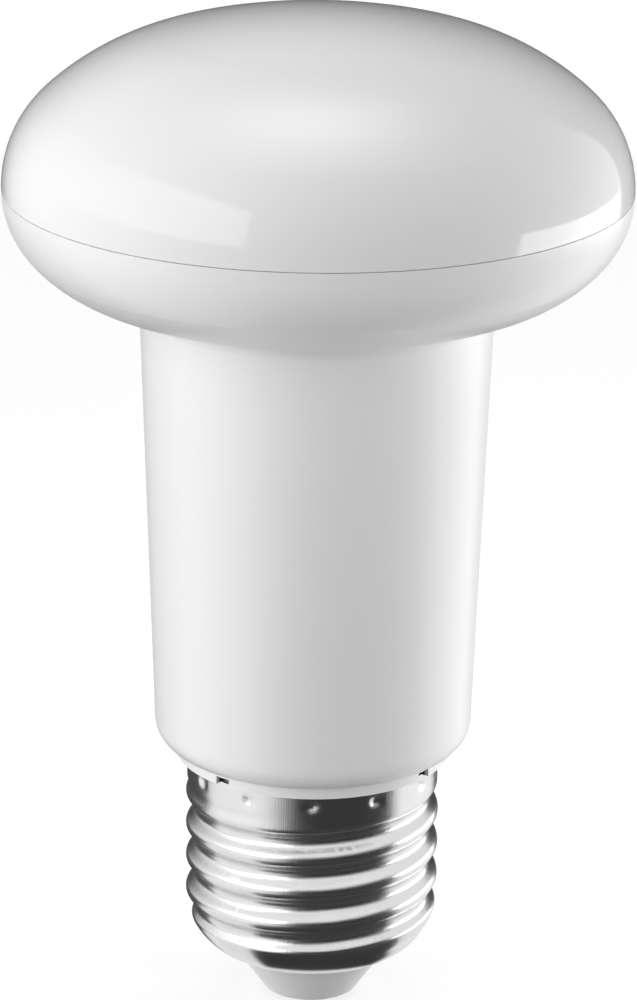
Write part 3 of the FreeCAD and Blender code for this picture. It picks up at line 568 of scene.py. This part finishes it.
def fade_sideways(lamp):
    """Lets a panel's far side fade out, as in a soft box with its lamp at one end."""
    lamp.data.use_nodes = True
    tree = lamp.data.node_tree
    _, apart = split_place(tree, "ShaderNodeNewGeometry", "Parametric")
    fade = change(tree, (apart, "X"), (0.0, FULL_LIGHT_FROM), (WEAKEST_LIGHT, 1.0))
    join(tree, *fade, tree.nodes["Emission"], "Strength")


def dark_cloth():
    """Dark cloth that thins out towards its top and its left side."""
    material, tree, shader = new_material("dark_cloth")
    shader.inputs["Base Color"].default_value = CLOTH_COLOUR
    shader.inputs["Roughness"].default_value = 1.0
    _, apart = split_place(tree, output="Generated")
    upwards = change(tree, (apart, "Z"), (CLOTH_THINS_FROM, 1.0), (1.0, 0.0))
    sideways = change(tree, (apart, "X"), (0.0, CLOTH_THINS_TO), (0.0, 1.0))
    join(tree, *arithmetic(tree, "MULTIPLY", upwards, sideways), shader, "Alpha")
    return material


def dark_screen(name, first_bearing, last_bearing, distance, top, material):
    """A dark cloth on the ground and up behind it, seen only by mirrors, for contrast."""
    mesh = bmesh.new()
    places = [(SCREEN_START, SCREEN_LIFT), (distance, SCREEN_LIFT), (distance, top)]
    corners = [mesh.verts.new((0, -reach, height)) for reach, height in places]
    bmesh.ops.rotate(
        mesh, verts=corners, cent=(0, 0, 0),
        matrix=Matrix.Rotation(math.radians(first_bearing), 3, "Z"),
    )
    edges = [mesh.edges.new(pair) for pair in zip(corners, corners[1:])]
    bmesh.ops.spin(
        mesh, geom=[*corners, *edges], cent=(0, 0, 0), axis=(0, 0, 1), steps=SCREEN_STEPS,
        angle=math.radians(last_bearing - first_bearing), use_merge=False,
    )
    data = bpy.data.meshes.new(name)
    mesh.to_mesh(data)
    mesh.free()
    data.materials.append(material)
    screen = bpy.data.objects.new(name, data)
    bpy.context.scene.collection.objects.link(screen)
    screen.visible_camera = False
    screen.visible_diffuse = False
    screen.visible_transmission = False
    screen.visible_shadow = False


def lay_floor(studio):
    bpy.ops.mesh.primitive_plane_add(size=studio.floor_size, location=(0, 0, 0))
    floor = bpy.context.object
    floor.name = "floor"
    material, tree, shader = new_material("pale_floor")
    shader.inputs["Base Color"].default_value = (*studio.floor_colour, 1)
    shader.inputs["Roughness"].default_value = FLOOR_ROUGHNESS
    lit_for_camera(tree, shader, studio.floor_glow)
    floor.data.materials.append(material)


def light_room(scene, studio):
    """White to the eye and in mirrors, with its own strength and glows on the object."""
    world = bpy.data.worlds.new("white_room")
    scene.world = world
    world.use_nodes = True
    tree = world.node_tree
    background = tree.nodes["Background"]
    background.inputs["Color"].default_value = (1, 1, 1, 1)
    overhead = soft_glow(tree, *OVERHEAD, studio.overhead_strength)
    left_sky = soft_glow(tree, *LEFT_SKY, studio.left_sky_strength)
    stray = arithmetic(tree, "ADD", left_sky, studio.room_strength)
    choose = tree.nodes.new("ShaderNodeMix")
    join(tree, *stray, choose, "A")
    choose.inputs["B"].default_value = 1.0
    join(tree, *seen_directly(tree), choose, "Factor")
    light = arithmetic(tree, "ADD", (choose, "Result"), overhead)
    join(tree, *light, background, "Strength")


def place_lamps(studio):
    """Two panels that show in the dome, and two fill lamps that no mirror sees."""
    fade_sideways(panel("left_panel", *LEFT_PANEL, studio.left_power))
    lamp = panel("right_panel", *RIGHT_PANEL, studio.right_power)
    lean = Quaternion((0, 0, 1), math.radians(RIGHT_PANEL_LEAN))
    lamp.rotation_quaternion = lamp.rotation_quaternion @ lean
    panel("left_fill", *LEFT_FILL, studio.left_fill).visible_glossy = False
    panel("right_fill", *RIGHT_FILL, studio.right_fill).visible_glossy = False


def place_camera(scene):
    data = bpy.data.cameras.new("camera")
    data.lens = CAMERA_LENS
    data.clip_start, data.clip_end = CAMERA_CLIP
    camera = bpy.data.objects.new("camera", data)
    scene.collection.objects.link(camera)
    tilt = Euler((math.radians(90 - CAMERA_LOOKS_DOWN), 0, 0)).to_matrix()
    roll = Matrix.Rotation(math.radians(CAMERA_ROLL), 3, "Z")
    upwards, sideways = (share / CAMERA_LENS_PIXELS for share in CAMERA_AIM)
    aim = Matrix.Rotation(upwards, 3, "X") @ Matrix.Rotation(sideways, 3, "Y")
    turned = (tilt @ roll @ aim).to_4x4()
    camera.matrix_world = Matrix.Translation(CAMERA_PLACE) @ turned
    scene.camera = camera


class LAMP_OT_set_stage(bpy.types.Operator):
    """Floor, room, lamps and the camera of the photograph"""
    bl_idname = "lamp.set_stage"
    bl_label = "Stage"

    def execute(self, context):
        scene = context.scene
        lay_floor(scene.lamp_studio)
        cloth = dark_cloth()
        for name, measures in SCREENS.items():
            dark_screen(name, *measures, cloth)
        light_room(scene, scene.lamp_studio)
        place_lamps(scene.lamp_studio)
        place_camera(scene)
        scene.view_settings.view_transform = "Standard"
        return {"FINISHED"}


OPERATORS = (
    LAMP_OT_set_stage, LAMP_OT_dress_dome, LAMP_OT_dress_housing,
    LAMP_OT_dress_cap, LAMP_OT_dress_light_board, LAMP_OT_dress_driver,
)


class LAMP_PT_sidebar(bpy.types.Panel):
    bl_label = "Reflector lamp"
    bl_idname = "LAMP_PT_sidebar"
    bl_space_type = "VIEW_3D"
    bl_region_type = "UI"
    bl_category = "Lamp"

    def draw(self, context):
        for operator in OPERATORS:
            self.layout.operator(operator.bl_idname)
        for group in (context.scene.lamp_finish, context.scene.lamp_studio):
            for name in group.__annotations__:
                self.layout.prop(group, name)


CLASSES = (LampFinish, LampStudio, *OPERATORS, LAMP_PT_sidebar)


def register():
    for item in CLASSES:
        bpy.utils.register_class(item)
    bpy.types.Scene.lamp_finish = bpy.props.PointerProperty(type=LampFinish)
    bpy.types.Scene.lamp_studio = bpy.props.PointerProperty(type=LampStudio)


def unregister():
    del bpy.types.Scene.lamp_studio
    del bpy.types.Scene.lamp_finish
    for item in reversed(CLASSES):
        bpy.utils.unregister_class(item)


def main():
    register()
    bpy.ops.lamp.set_stage()
    bpy.ops.lamp.dress_dome()
    bpy.ops.lamp.dress_housing()
    bpy.ops.lamp.dress_cap()
    bpy.ops.lamp.dress_light_board()
    bpy.ops.lamp.dress_driver()


if __name__ == "__main__":
    main()
